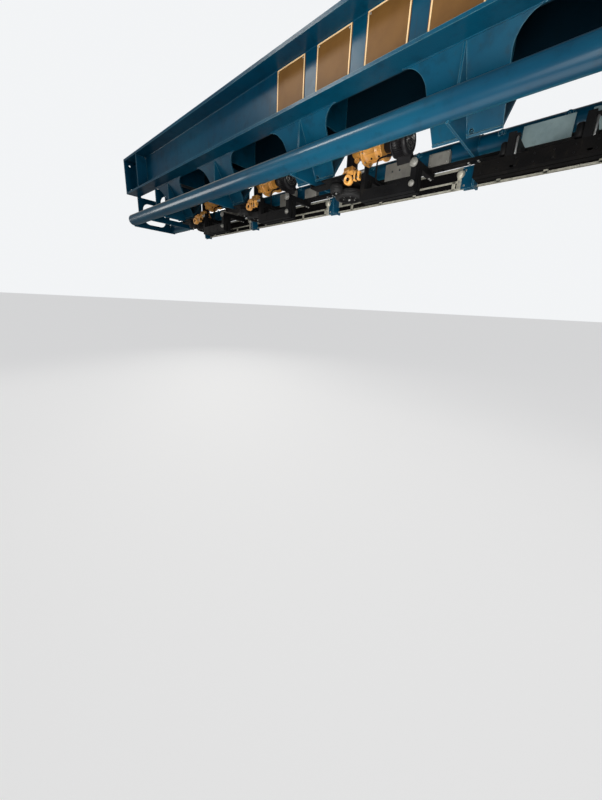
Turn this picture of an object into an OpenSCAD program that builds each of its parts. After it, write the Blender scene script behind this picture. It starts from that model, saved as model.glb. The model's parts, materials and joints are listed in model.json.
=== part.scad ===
// Overhead roller coaster station track section, full size, in millimetres.
// X runs along the track, Y across it and Z up. The origin is at the middle of
// the upper face of the middle support pad, where the section hangs from its
// building steel. The boarding side is +Y.

/* [Section] */
// Length of the section between its joints
length = 6400; // [4800:10:8000]
// Distance from one inner hanger to the next
bay = 1200; // [1000:5:1400]
// Distance from an inner hanger to the outer one
end_bay = 1045; // [800:5:1300]
// Distance from the middle to the plain frames
frame_x = 2605; // [2500:5:2700]

/* [Girder] */
// Depth of the girder over its plates
girder_h = 413; // [320:1:600]
// Width of the girder over its flanges
flange_w = 730; // [600:5:900]
// Thickness of the top plate
top_t = 25; // [12:1:40]
// Thickness of the lower flanges
flange_t = 20; // [12:1:40]
// Distance between the outer faces of the two webs
web_gauge = 450; // [380:5:560]
// Thickness of the webs
web_t = 12; // [8:1:24]
// Distance from a hanger back to the girder's inner plate
inner_back = 110; // [60:5:200]
// Thickness of the ribs outside the webs
rib_t = 16; // [8:1:24]
// Distance from the middle to the ribs
rib_x = 2815; // [2700:5:3100]

/* [End joints] */
// Thickness of the plates at both ends of the girder
end_plate_t = 20; // [12:1:40]
// Distance between joint bolts across the girder
end_bolt_y = 590; // [540:5:680]
// Distance between joint bolts up the girder
end_bolt_z = 290; // [200:5:340]
// Diameter of the joint bolt holes
end_hole_d = 26; // [14:1:32]

/* [Support pads] */
// Thickness of a support pad
pad_t = 25; // [12:1:40]
// Length of a support pad along the girder
pad_l = 420; // [360:10:500]
// Width of a support pad
pad_w = 300; // [260:10:400]
// Distance between pad bolts along the girder
pad_bolt_x = 320; // [240:10:340]
// Distance between pad bolts across the girder
pad_bolt_y = 220; // [180:10:240]
// Diameter of the pad bolt holes
pad_hole_d = 26; // [14:1:32]

/* [Rails] */
// Outer diameter of a rail tube
rail_d = 140; // [100:1:180]
// Wall of a rail tube
rail_wall = 10; // [5:1:20]
// Distance between the rail centres
gauge = 600; // [560:10:800]
// Depth from the girder's underside to the rail centres
rail_drop = 309; // [260:1:500]

/* [Hangers] */
// Width of a hanger plate under its rounded corners
hanger_w = 440; // [320:10:600]
// How much narrower a hanger plate is at its foot
hanger_taper = 40; // [0:5:120]
// Thickness of the hanger plates
hanger_t = 14; // [8:1:24]
// Radius of the rounded corners under the girder
hanger_r = 130; // [60:5:180]
// Depth of the hanger's foot below the rail centres
hanger_foot = 45; // [20:5:120]
// Thickness of the cross plates
cross_t = 14; // [8:1:24]
// Depth of the cross plates below the rail centres
cross_foot = 81; // [72:1:140]
// Radius of the window in a frame without a hanger
window_r = 90; // [40:5:110]

/* [Drive units] */
// Diameter of a drive tyre
tyre_d = 240; // [220:5:260]
// Diameter of an idler tyre
idler_d = 100; // [90:2:140]
// Width of the tyres
tyre_w = 60; // [50:2:80]
// Thickness of the rubber on a drive wheel
rubber = 32; // [15:1:50]
// Thickness of the rubber on an idler wheel
idler_rubber = 16; // [8:1:24]
// Depth of the tyres' middle below the rail centres
tyre_drop = 167; // [160:1:190]
// Gap between the two tyres of a pair, and between the bars
nip = 14; // [10:1:40]
// Diameter of the wheel shafts
shaft_d = 40; // [25:1:50]
// Running clearance of a shaft in its bearing
shaft_fit = 0.05; // [0.01:0.01:0.1]
// Gap between a wheel and what it turns beside
wheel_gap = 6; // [5:1:12]
// Diameter of a bearing housing
bearing_d = 84; // [60:2:100]
// Distance of the wheels from the middle of their bay
wheel_x = 320; // [280:5:340]
// Thickness of the base plates
plate_t = 10; // [6:1:16]
// Diameter of the gearmotor's large flange
motor_flange_d = 200; // [180:2:220]
// Diameter of the gearbox body
motor_d = 145; // [120:2:170]
// Diameter of the motor
round_d = 190; // [160:2:210]
// Height of the gearmotor's axis over its base plate
motor_up = 209; // [190:2:230]
// Length of the bars in a drive unit
guide_l = 430; // [350:10:480]
// Distance from the middle of a drive unit to the next hanger
unit_back = 600; // [590:5:640]

/* [Unit beam] */
// Thickness of the long flat beam that carries the units
beam_t = 20; // [12:1:30]
// Width of the beam
beam_w = 60; // [40:5:80]
// Distance of the beam beyond the track's middle
beam_y = 225; // [220:5:240]

/* [Brake] */
// Length of the brake bars
bar_l = 850; // [700:10:900]
// Width of a bar
bar_w = 42; // [20:2:60]
// Height of a bar
bar_h = 74; // [40:2:90]
// Depth of the bars' middle below the rail centres
bar_drop = 248; // [240:1:280]
// Distance from one brake arm to the next
arm_pitch = 329; // [250:1:400]
// Place of the first brake arm from the middle of its bay
arm_x = 252; // [200:2:300]
// Height of the grey plates along the beam
cover_h = 110; // [80:5:120]
// Length of a grey plate
cover_l = 240; // [180:5:280]

/* [Blank plates] */
// Width of a blank plate
sign_w = 300; // [200:1:380]
// Height of a blank plate
sign_h = 300; // [200:5:340]
// Thickness of a blank plate
sign_t = 4; // [2:1:8]
// Distance from one blank plate to the next
sign_pitch = 412; // [390:1:600]
// Place of the first blank plate along the girder
sign_x = 108; // [-600:1:400]
// Number of blank plates
sign_n = 4; // [1:1:5]

/* [Cable frame] */
// Thickness of the frame's bars
tray_bar = 16; // [10:1:30]
// Height of the frame's lower rail
tray_rail = 58; // [30:1:80]
// Distance of the frame beyond the track's middle
tray_y = 350; // [320:5:420]
// Depth of the frame's upper edge below the rail centres
tray_drop = 72; // [60:1:140]
// Height of the whole frame
tray_h = 138; // [90:1:200]

/* [Hidden] */
$fn = 64;
z_top = -pad_t;                       // upper face of the girder
z_under = z_top - girder_h;           // its underside
z_rail = z_under - rail_drop;         // rail centres
z_vee = z_rail - hanger_foot;         // foot of the hanger plates
z_cross = z_rail - cross_foot;        // lower edge of the cross plates
z_tyre = z_rail - tyre_drop;          // middle of the tyres
y_rail = gauge / 2;
y_web = web_gauge / 2;                // outer face of a web
drill = 2;                            // how far a cutter runs past its plate
hanger_x = [-bay - end_bay, -bay, 0, bay, bay + end_bay];
unit_x = [for (i = [2 : 4]) hanger_x[i] - unit_back];
brake_x = -bay - end_bay / 2;
pad_x = [hanger_x[0], 0, hanger_x[4]];
base_z = z_cross - beam_t;            // upper face of the base plates
z_plate = base_z - plate_t;           // their underside
z_bearing = z_tyre + tyre_w / 2 + wheel_gap;
z_bar = z_rail - bar_drop;
strip_in = 20;                        // lower flange inside the web
lean = atan(y_web / (z_under - z_vee));
slope = y_web / sin(lean);            // length of a hanger plate down its slope
arm_t = 36;                           // arms that carry the bars
bridge_h = 40;
cover_t = 8;
guide_x = -115;                       // middle of the bars in a drive unit
beam_near = beam_y - beam_w / 2;
beam_far = beam_y + beam_w / 2;
motor_y = (tyre_d + nip) / 2;
motor_z = base_z + motor_up;
post_l = 30;                          // posts at the ends of a cable frame

// A plate standing across the track, drawn as [y, z]
module across(t) {
    rotate([90, 0, 90])
        translate([0, 0, -t / 2])
            linear_extrude(t) children();
}

// A plate standing along the track, drawn as [x, z]
module along(t) {
    rotate([90, 0, 0])
        translate([0, 0, -t / 2])
            linear_extrude(t) children();
}

// Two webs under one top plate, open below between the lower flanges
module girder() {
    run = length - 2 * end_plate_t;
    strip = flange_w / 2 - y_web + strip_in;
    color("steelblue")
    difference() {
        union() {
            translate([-run / 2, -flange_w / 2, z_top - top_t])
                cube([run, flange_w, top_t]);
            for (s = [0, 1])
                mirror([0, s, 0]) {
                    translate([-run / 2, y_web - web_t, z_under])
                        cube([run, web_t, girder_h]);
                    translate([-run / 2, y_web - strip_in, z_under])
                        cube([run, strip, flange_t]);
                    for (x = [-1, 1])
                        translate([x * rib_x, 0, 0]) web_rib();
                }
            for (x = hanger_x)
                translate([x - inner_back, 0, 0])
                    across(cross_t) inner_outline();
        }
        for (x = pad_x)
            translate([x, 0, z_top - top_t]) pad_holes(top_t);
    }
}

// A rib outside the web, with cut corners where the welds pass
module web_rib() {
    cut = 26;
    edge = 12;
    across(rib_t)
        polygon([[y_web - web_t, z_under + flange_t + cut],
            [y_web, z_under + flange_t + cut],
            [y_web + cut, z_under + flange_t],
            [flange_w / 2 - edge, z_under + flange_t],
            [flange_w / 2 - edge, z_top - top_t],
            [y_web + cut, z_top - top_t],
            [y_web, z_top - top_t - cut],
            [y_web - web_t, z_top - top_t - cut]]);
}

module pad_holes(t) {
    for (x = [-1, 1], y = [-1, 1])
        translate([x * pad_bolt_x / 2, y * pad_bolt_y / 2, -drill])
            cylinder(d = pad_hole_d, h = t + 2 * drill);
}

module support_pad(i) {
    color("slategray")
    translate([pad_x[i], 0, z_top])
        difference() {
            translate([-pad_l / 2, -pad_w / 2, 0]) cube([pad_l, pad_w, pad_t]);
            pad_holes(pad_t);
        }
}

// The end plate is a frame around the open middle of the girder
module end_plate(s) {
    border = 70;
    color("steelblue")
    translate([s * (length - end_plate_t) / 2, 0, z_top - girder_h / 2])
        difference() {
            cube([end_plate_t, flange_w, girder_h], center = true);
            translate([0, 0, -border / 2])
                cube([end_plate_t + 2 * drill, web_gauge - 2 * web_t - border, girder_h - border + drill], center = true);
            for (y = [-1, 1], z = [-1, 1])
                translate([0, y * end_bolt_y / 2, z * end_bolt_z / 2])
                    rotate([0, 90, 0])
                        cylinder(d = end_hole_d, h = end_plate_t + 2 * drill, center = true);
        }
}

module rail(s) {
    color("steelblue")
    translate([-length / 2, s * y_rail, z_rail])
        rotate([0, 90, 0])
            difference() {
                cylinder(d = rail_d, h = length);
                translate([0, 0, -drill])
                    cylinder(d = rail_d - 2 * rail_wall, h = length + 2 * drill);
            }
}

// One leaning plate of a hanger, drawn down its own slope, with drain holes
module hanger_outline() {
    drain_r = 14;
    top_w = hanger_w / 2 + hanger_r;
    foot_w = (hanger_w - hanger_taper) / 2;
    difference() {
        polygon([[-top_w, hanger_t], [top_w, hanger_t], [top_w, -hanger_r], [hanger_w / 2, -hanger_r],
            [foot_w, -slope], [-foot_w, -slope], [-hanger_w / 2, -hanger_r], [-top_w, -hanger_r]]);
        for (s = [-1, 1]) {
            translate([s * top_w, -hanger_r]) circle(r = hanger_r);
            translate([s * (cross_t / 2 + 2 * drain_r), -slope + 2 * drain_r]) circle(r = drain_r);
        }
    }
}

// The cross plate reaches from the girder's webs down to both rails
module cross_outline() {
    difference() {
        polygon([[-y_web, z_under], [y_web, z_under], [y_web, z_rail], [y_rail, z_rail],
            [y_rail, z_cross], [-y_rail, z_cross], [-y_rail, z_rail], [-y_web, z_rail]]);
        for (s = [-1, 1])
            translate([s * y_rail, z_rail]) circle(d = rail_d);
    }
}

// Inside the girder the cross plate fills the space between the webs
module inner_outline() {
    cut = 30;
    in = y_web - web_t;
    polygon([[-in, z_under], [in, z_under], [in, z_top - top_t - cut],
        [in - cut, z_top - top_t], [cut - in, z_top - top_t], [-in, z_top - top_t - cut]]);
}

module hanger(i) {
    color("steelblue")
    translate([hanger_x[i], 0, 0]) {
        difference() {
            for (s = [-1, 1])
                translate([0, s * (y_web - hanger_t / 2), z_under])
                    rotate([-s * lean, 0, 0])
                        along(hanger_t) hanger_outline();
            translate([-hanger_w, -y_rail, z_under])
                cube([2 * hanger_w, 2 * y_rail, 2 * hanger_t]);
        }
        across(cross_t) cross_outline();
    }
}

// A frame without leaning plates has one large rounded window
module frame_outline() {
    side = 60;
    difference() {
        cross_outline();
        hull()
            for (y = [-1, 1], z = [0, 1])
                translate([y * (y_web - side - window_r),
                    z_rail - hanger_foot / 2 + window_r + z * (rail_drop - side - 2 * window_r + hanger_foot / 2)])
                    circle(r = window_r);
    }
}

module end_frame(s) {
    color("steelblue")
    translate([s * (length - end_plate_t) / 2, 0, 0])
        across(end_plate_t) frame_outline();
}

module mid_frame(s) {
    color("steelblue")
    translate([s * frame_x, 0, 0])
        across(cross_t) frame_outline();
}

// The flat beam under the cross plates, from the first hanger to the last
module unit_beam() {
    run = hanger_x[4] - hanger_x[0] + cross_t;
    color("dimgray")
    translate([-run / 2, -beam_far, base_z])
        cube([run, beam_w, beam_t]);
}

module blank_plates() {
    color("sienna")
    for (i = [0 : sign_n - 1])
        translate([sign_x - i * sign_pitch, y_web + sign_t / 2, z_top - top_t - sign_h / 2])
            cube([sign_w, sign_t, sign_h], center = true);
}

// Aluminium bars run between the brackets of two hangers
module frame_box(i, from, run, low, high) {
    color("gainsboro")
    translate([hanger_x[i] + cross_t / 2 + from, -tray_y - tray_bar / 2, z_rail - tray_drop - tray_h + low])
        cube([run, tray_bar, high - low]);
}

function frame_run(i) = hanger_x[i + 1] - hanger_x[i] - cross_t;

module cable_rail() {
    for (i = [0 : 3]) frame_box(i, 0, frame_run(i), 0, tray_rail);
}

module frame_bar() {
    for (i = [1 : 3]) frame_box(i, 0, frame_run(i), tray_h - tray_bar, tray_h);
}

module frame_posts() {
    for (i = [1 : 3], x = [0, frame_run(i) - post_l])
        frame_box(i, x, post_l, tray_rail, tray_h - tray_bar);
}

// Each bracket hangs from a cross plate under the far rail
module frame_brackets() {
    inner = beam_far + 1;
    lip = 14;
    face_l = 75;
    face_t = 12;
    color("steelblue")
    for (x = hanger_x)
        translate([x, 0, 0]) {
            across(cross_t)
                polygon([[-y_rail, z_cross], [-inner, z_cross],
                    [-y_rail + 2 * lip, z_rail - tray_drop - tray_h - lip],
                    [-tray_y - tray_bar / 2 - lip, z_rail - tray_drop - tray_h - lip],
                    [-tray_y - tray_bar / 2 - lip, z_rail - tray_drop]]);
            translate([0, -tray_y + tray_bar / 2, z_rail - tray_drop - tray_h - lip])
                cube([face_l, face_t, tray_h]);
        }
}

// Black sheets stand in the frames between the tray and the upper bar
module frame_panels() {
    sheet_t = 4;
    color("black")
    for (i = [0 : 3]) {
        in = i > 0 ? post_l : 0;
        translate([hanger_x[i] + cross_t / 2 + in, -tray_y - sheet_t / 2, z_rail - tray_drop - tray_h + tray_rail])
            cube([frame_run(i) - 2 * in, sheet_t, tray_h - tray_bar - tray_rail]);
    }
}

// A pair of bars beside the path of the fin
module bar_pair(x, l) {
    for (s = [-1, 1])
        translate([x, s * (nip + bar_w) / 2, z_bar])
            cube([l, bar_w, bar_h], center = true);
}

// A bridge from the beam over the fin's path, with a leg down to each bar
module arm(x, low) {
    translate([x - arm_t / 2, -beam_far, base_z - bridge_h])
        cube([arm_t, beam_far + nip / 2 + bar_w, bridge_h]);
    for (s = [-1, 1])
        translate([x - arm_t / 2, s * (nip + bar_w) / 2 - bar_w / 2, low])
            cube([arm_t, bar_w, base_z - low]);
}

// A plate that stands along the beam's near edge
module cover(x) {
    translate([x, -beam_near, base_z]) cube([cover_l, cover_t, cover_h]);
}

// The driven wheel is on the far side, the idler on the boarding side
function axle_y(s) = s > 0 ? -(tyre_d + nip) / 2 : (idler_d + nip) / 2;
function tyre_of(s) = s > 0 ? tyre_d : idler_d;
function rim_of(s) = s > 0 ? tyre_d - 2 * rubber : idler_d - 2 * idler_rubber;
function shaft_of(s) = s > 0 ? shaft_d : shaft_d * 0.75;

// The base of a drive unit: a plate from the beam to the next hanger's cross
// plate, the bearings of its two wheels, and bars on two arms
module drive_base(i) {
    before = 120;
    after = 110;
    tongue_w = 100;
    color("dimgray")
    translate([unit_x[i], 0, 0])
        difference() {
            union() {
                translate([wheel_x - before, -beam_far, z_plate])
                    cube([before + after, beam_far + idler_d + nip, plate_t]);
                translate([wheel_x, -tongue_w / 2, z_plate])
                    cube([unit_back - wheel_x + cross_t / 2, tongue_w, plate_t]);
                translate([unit_back - cross_t / 2, -tongue_w / 2, z_plate])
                    cube([cross_t, tongue_w, z_cross - z_plate]);
                bar_pair(guide_x, guide_l);
                for (x = [-1, 1])
                    arm(guide_x + x * (guide_l - arm_t) / 2, z_bar);
                for (s = [-1, 1])
                    translate([wheel_x, axle_y(s), z_bearing])
                        cylinder(d = bearing_d, h = base_z - z_bearing);
            }
            for (s = [-1, 1])
                translate([wheel_x, axle_y(s), z_bearing - drill])
                    cylinder(d = shaft_of(s) + 2 * shaft_fit, h = base_z - z_bearing + 2 * drill);
        }
}

// The grey plate of a drive unit, with two bolt holes
module guide_plate(i) {
    hole_d = 14;
    from = 40;
    color("gray")
    translate([unit_x[i] + from - cover_l, 0, 0])
        difference() {
            cover(0);
            for (x = [2, 3])
                translate([x * cover_l / 4, -beam_near - drill, base_z + cover_h / 2])
                    rotate([-90, 0, 0]) cylinder(d = hole_d, h = cover_t + 2 * drill);
        }
}

// Gearbox over the driven wheel, with its round cap, long body and flanges
module gearbox(i) {
    hub_d = 100;
    cap_far = 50;
    cap_near = 90;
    neck = 90;
    flange = 12;
    near = 189;
    body = 162;
    color("goldenrod")
    translate([unit_x[i], -motor_y, 0]) {
        translate([wheel_x, 0, base_z])
            cylinder(d = hub_d, h = motor_up + neck / 2);
        translate([wheel_x, -cap_far, base_z + hub_d / 2 + 1])
            rotate([-90, 0, 0]) cylinder(d = hub_d, h = cap_far + cap_near);
        translate([near, 0, motor_z])
            rotate([0, 90, 0]) cylinder(d = neck, h = wheel_x - near);
        translate([near - flange, 0, motor_z])
            rotate([0, 90, 0]) cylinder(d = motor_flange_d, h = flange);
        translate([near - body, 0, motor_z])
            rotate([0, 90, 0]) cylinder(d = motor_d, h = body);
        translate([near - body - flange, 0, motor_z])
            rotate([0, 90, 0]) cylinder(d = motor_flange_d - flange, h = flange);
    }
}

// The motor in line with its gearbox
module motor(i) {
    neck_d = 90;
    neck_l = 70;
    round_l = 120;
    flange_end = 15;
    color("black")
    translate([unit_x[i] + flange_end, -motor_y, motor_z])
        rotate([0, -90, 0]) {
            cylinder(d = neck_d, h = neck_l);
            translate([0, 0, neck_l]) cylinder(d = round_d, h = round_l);
        }
}

module brake_base() {
    color("dimgray")
    translate([brake_x, 0, 0])
        for (i = [0 : 2])
            arm(arm_x - i * arm_pitch, z_bar + bar_h / 2);
}

// Pale plates along the beam
module brake_plates() {
    first = 20;
    pitch = 310;
    color("lightgray")
    for (i = [0 : 1])
        translate([brake_x + first - i * pitch, 0, 0]) cover(0);
}

module brake_bars() {
    color("black")
    translate([brake_x, 0, 0]) bar_pair(0, bar_l);
}

module wheel(i, s) {
    short = 5;
    color("gray")
    translate([unit_x[i] + wheel_x, axle_y(s), z_tyre]) {
        cylinder(d = rim_of(s), h = tyre_w, center = true);
        cylinder(d = shaft_of(s), h = base_z - z_tyre - short);
    }
}

module tyre(i, s) {
    color("black")
    translate([unit_x[i] + wheel_x, axle_y(s), z_tyre])
        difference() {
            cylinder(d = tyre_of(s), h = tyre_w, center = true);
            cylinder(d = rim_of(s), h = tyre_w + 2 * drill, center = true);
        }
}

girder();
end_plate(-1);  // end_plate_a
end_plate(1);  // end_plate_b
rail(1);  // rail_near
rail(-1);  // rail_far
end_frame(-1);  // end_frame_a
end_frame(1);  // end_frame_b
mid_frame(-1);  // mid_frame_a
mid_frame(1);  // mid_frame_b
for (i = [0 : 4])
    hanger(i);
for (i = [0 : 2]) {
    support_pad(i);
    drive_base(i);
    guide_plate(i);
    gearbox(i);
    motor(i);
    wheel(i, 1);
    tyre(i, 1);
    wheel(i, -1);
    tyre(i, -1);
}
unit_beam();
blank_plates();
cable_rail();
frame_bar();
frame_panels();
frame_posts();
frame_brackets();
brake_base();
brake_plates();
brake_bars();
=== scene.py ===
import bpy, bmesh, json, math, random
from mathutils import Matrix, Vector


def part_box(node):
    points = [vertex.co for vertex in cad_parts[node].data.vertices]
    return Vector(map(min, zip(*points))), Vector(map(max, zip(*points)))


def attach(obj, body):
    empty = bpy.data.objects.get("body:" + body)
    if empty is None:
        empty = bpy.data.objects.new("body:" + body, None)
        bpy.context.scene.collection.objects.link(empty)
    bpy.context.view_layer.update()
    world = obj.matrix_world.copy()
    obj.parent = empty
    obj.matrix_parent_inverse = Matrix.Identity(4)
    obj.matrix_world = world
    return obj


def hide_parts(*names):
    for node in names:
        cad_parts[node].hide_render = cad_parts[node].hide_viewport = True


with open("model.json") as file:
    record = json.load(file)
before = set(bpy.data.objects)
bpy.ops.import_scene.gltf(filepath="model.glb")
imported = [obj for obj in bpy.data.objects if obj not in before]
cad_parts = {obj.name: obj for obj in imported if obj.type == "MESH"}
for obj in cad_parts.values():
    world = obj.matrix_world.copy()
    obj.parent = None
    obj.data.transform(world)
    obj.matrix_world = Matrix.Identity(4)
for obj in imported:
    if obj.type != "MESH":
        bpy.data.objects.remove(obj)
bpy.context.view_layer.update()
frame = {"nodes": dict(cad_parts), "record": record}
nodes = frame["nodes"]
print("frame:", len(nodes), "nodes")

# camera: at the photo's eye height, looking up along the track
view = {
    "eye": (-2.065, 2.31, -1.812),
    "right": (-0.72844, -0.68344, 0.04780),
    "up": (0.23117, -0.17951, 0.95621),
    "back": (-0.64493, 0.70759, 0.28876),
    "lens": 14.06,
    "sensor": 36.0,
    "nearest": 0.02,
    "eyeHeight": 1.43,
}
camData = bpy.data.cameras.new("eyeLevel")
camData.lens = view["lens"]
camData.sensor_width = view["sensor"]
camData.clip_start = view["nearest"]
cam = bpy.data.objects.new("eyeLevel", camData)
camTurn = Matrix((view["right"], view["up"], view["back"])).transposed().to_4x4()
cam.matrix_world = Matrix.Translation(view["eye"]) @ camTurn
bpy.context.collection.objects.link(cam)
bpy.context.scene.camera = cam
floorZ = view["eye"][2] - view["eyeHeight"]
print("camera set, floor at", round(floorZ, 3))


# shader maths: a wire is one socket in a material's tree
class Wire:
    def __init__(self, tree, socket=None):
        self.tree, self.socket = tree, socket

    def node(self, kind, settings=None, inputs=None, out=0):
        made = self.tree.nodes.new("ShaderNode" + kind)
        for key, value in (settings or {}).items():
            setattr(made, key, value)
        for key, value in (inputs or {}).items():
            if isinstance(value, Wire):
                self.tree.links.new(value.socket, made.inputs[key])
            else:
                made.inputs[key].default_value = value
        return Wire(self.tree, made.outputs[out])

    def maths(self, operation, a, b):
        return self.node("Math", {"operation": operation}, {0: a, 1: b})

    def __add__(self, other):
        return self.maths("ADD", self, other)

    def __sub__(self, other):
        return self.maths("SUBTRACT", self, other)

    def __rsub__(self, other):
        return self.maths("SUBTRACT", other, self)

    def __mul__(self, other):
        return self.maths("MULTIPLY", self, other)

    def __mod__(self, other):
        return self.maths("MODULO", self, other)

    def __gt__(self, other):
        return self.maths("GREATER_THAN", self, other)

    def __lt__(self, other):
        return self.maths("LESS_THAN", self, other)

    def __abs__(self):
        return self.maths("ABSOLUTE", self, 0.0)

    __radd__, __rmul__ = __add__, __mul__


def step(value, low, high):  # 0 below low, 1 above high, smooth between
    return value.node("MapRange", {"interpolation_type": "SMOOTHSTEP"},
                      {0: value, 1: low, 2: high, 3: 0.0, 4: 1.0})


def mix(mask, a, b):  # two colours; the numbers are the node's colour sockets
    return mask.node("Mix", {"data_type": "RGBA"}, {0: mask, 6: a, 7: b}, out=2)


def place(wire, stretch=(1, 1, 1)):  # object coordinates in metres
    spot = wire.node("TexCoord", out="Object")
    if stretch != (1, 1, 1):
        spot = wire.node("VectorMath", {"operation": "MULTIPLY"}, {0: spot, 1: stretch})
    return spot


def cloud(spot, size, detail, rough=0.55):  # soft noise with features of about that size
    return spot.node("TexNoise", None, {"Vector": spot, "Scale": 1.0 / size, "Detail": detail, "Roughness": rough})


def axes(spot):
    return [spot.node("SeparateXYZ", None, {0: spot}, out=axis) for axis in "XYZ"]


def facing(wire):
    return wire.node("NewGeometry", out="Normal")


def upward(wire):  # 1 on faces that look up, -1 on those that look down
    return axes(facing(wire))[2]


def sharpEdges(wire, width):  # rises from 0 within that width of a sharp edge
    rounded = wire.node("Bevel", {"samples": 4}, {"Radius": width})
    along = rounded.node("VectorMath", {"operation": "DOT_PRODUCT"}, {0: rounded, 1: facing(wire)}, out="Value")
    return 1.0 - along


def finish(name, looks, fixed=None):  # looks: function of a wire that gives the varying sockets
    mat = bpy.data.materials.new(name)
    mat.use_nodes = True
    shader = mat.node_tree.nodes["Principled BSDF"]
    for key, value in (fixed or {}).items():
        shader.inputs[key].default_value = value
    wire = Wire(mat.node_tree)
    for key, value in looks(wire).items():
        if key == "Bump":
            height, depth = value
            value = wire.node("Bump", None, {"Strength": 1.0, "Distance": depth, "Height": height})
            key = "Normal"
        mat.node_tree.links.new(value.socket, shader.inputs[key])
    return mat


# track paint: petrol blue, a little faded, dust on top, with runs and grime; sharp edges are lightened as worn
# paint and as a painted highlight, and the girder's inner walls carry painted shade
# cloud: size in metres, detail, roughness; cut: where a mask starts and where it is full
paint = {
    "blue": (0.0003, 0.034, 0.071, 1),
    "faded": (0.0014, 0.055, 0.102, 1),
    "deep": (0.0002, 0.015, 0.032, 1),
    "dust": (0.13, 0.14, 0.135, 1),
    "grime": (0.018, 0.024, 0.026, 1),
    # edge: worn paint at sharp edges, also standing in for light caught on them as a painted highlight
    "edge": (0.085, 0.190, 0.225, 1),
    "cloud": {"fade": (1.1, 4.0), "mottle": (0.09, 5.0, 0.6), "runs": (1.0, 4.0, 0.6),
              "dust": (0.45, 6.0, 0.7), "marks": (0.030, 6.0, 0.7), "peel": (0.0055, 2.0, 0.5)},
    "cut": {"fade": (0.35, 0.70), "mottle": (0.48, 0.72), "runs": (0.57, 0.74),
            "dust": (0.25, 0.95), "marks": (0.66, 0.78), "worn": (0.03, 0.14)},
    "share": {"mottle": 0.45, "runs": 0.30, "marks": 0.35, "worn": 0.8},
    "dustThin": 0.30,
    "dustThick": 0.55,
    "runStretch": (26.0, 26.0, 2.2),
    "wornWidth": 0.006,
    "wornRagged": 0.12,
    "rough": {"plain": 0.24, "mottle": 0.16, "dust": 0.40, "marks": 0.3},
    "bump": {"peel": 0.6, "mottle": 1.6, "depth": 0.0006},
}

# painted shade: the girder's inner walls are painted dark where the box lies in shade; its inner plates don't get
# it
innerShade = {"half": 0.2136, "end": 3.170, "low": -0.445, "high": -0.047, "near": 0.010,
          "plates": (-2.355, -1.310, -0.110, 1.090, 2.135), "shade": (0.0015, 0.006, 0.010, 1), "share": 0.9}


# mask of the painted shade
def innerShadeMask(spot):  # 1 on the inner walls
    x, y, z = axes(spot)
    mask = (abs(y) < innerShade["half"]) * (z > innerShade["low"]) * (z < innerShade["high"]) * (abs(x) < innerShade["end"])
    for at in innerShade["plates"]:
        mask = mask * (abs(x - at) > innerShade["near"])
    return mask


def trackPaint(wire):
    size, cut, share, rough, bump = [paint[key] for key in ("cloud", "cut", "share", "rough", "bump")]
    spot = place(wire)
    mottle = cloud(spot, *size["mottle"])
    runs = cloud(place(wire, paint["runStretch"]), *size["runs"])
    dust = paint["dustThin"] + cloud(spot, *size["dust"]) * paint["dustThick"]
    dust = step(upward(wire), *cut["dust"]) * dust
    marks = step(cloud(spot, *size["marks"]), *cut["marks"]) * share["marks"]
    # lighter band at sharp edges: worn paint, and a painted highlight of light caught on the edges
    worn = step(sharpEdges(wire, paint["wornWidth"]) + (mottle - 0.5) * paint["wornRagged"], *cut["worn"])
    colour = mix(step(cloud(spot, *size["fade"]), *cut["fade"]), paint["blue"], paint["faded"])
    colour = mix(step(mottle, *cut["mottle"]) * share["mottle"], colour, paint["deep"])
    colour = mix(step(runs, *cut["runs"]) * share["runs"], colour, paint["grime"])
    colour = mix(marks, colour, paint["grime"])
    colour = mix(dust, colour, paint["dust"])
    # painted highlight and wear on sharp edges
    colour = mix(worn * share["worn"], colour, paint["edge"])
    # painted shade on the girder's inner walls
    colour = mix(innerShadeMask(spot) * innerShade["share"], colour, innerShade["shade"])
    dull = rough["plain"] + mottle * rough["mottle"] + dust * rough["dust"] + marks * rough["marks"]
    height = cloud(spot, *size["peel"]) * bump["peel"] + mottle * bump["mottle"]
    return {"Base Color": colour, "Roughness": dull, "Bump": (height, bump["depth"])}


# rails: the same paint, worn by the wheels on top, with a painted highlight along the lower side and a painted
# highlight line along the upper edge; bands: angle where each starts and ends
rail = {
    "y": 0.300,
    "z": -0.747,
    "worn": (0.050, 0.060, 0.068, 1),
    # lower side: worn paint, lightened also as a painted highlight
    "rubbedAndSheen": (0.012, 0.120, 0.175, 1),
    # painted highlight: pale line along the rail's upper edge
    "highlightCream": (0.40, 0.37, 0.32, 1),
    "scratched": (0.13, 0.14, 0.145, 1),
    "cloud": {"fade": (0.9, 4.0), "streak": (0.35, 5.0, 0.65), "fine": (1.0, 4.0, 0.6), "mottle": (0.07, 5.0, 0.6)},
    "stretch": {"streak": (0.5, 14.0, 14.0), "fine": (6.0, 60.0, 60.0)},
    "cut": {"mottle": (0.50, 0.74), "scratch": (0.60, 0.70), "strip": (-0.5, 1.3)},
    "band": {"top": ((0.55, 0.95), (2.15, 2.55)), "foot": ((-2.50, -2.15), (-1.75, -1.45)),
             "strip": ((0.52, 0.74), (1.20, 1.45))},
    "share": {"mottle": 0.35, "foot": 0.55, "top": (0.45, 0.5), "strip": (0.35, 0.6), "scratch": 0.4},
    "ragged": {"rubbedAndSheen": 0.55, "strip": 0.3},
    "rough": {"plain": 0.30, "streak": 0.10, "top": 0.07, "foot": 0.05},
    "bump": {"fine": 0.3, "depth": 0.0004},
}


def band(angle, start, end):  # 1 between two angles around the tube
    return step(angle, *start) * (1.0 - step(angle, *end))


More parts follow.
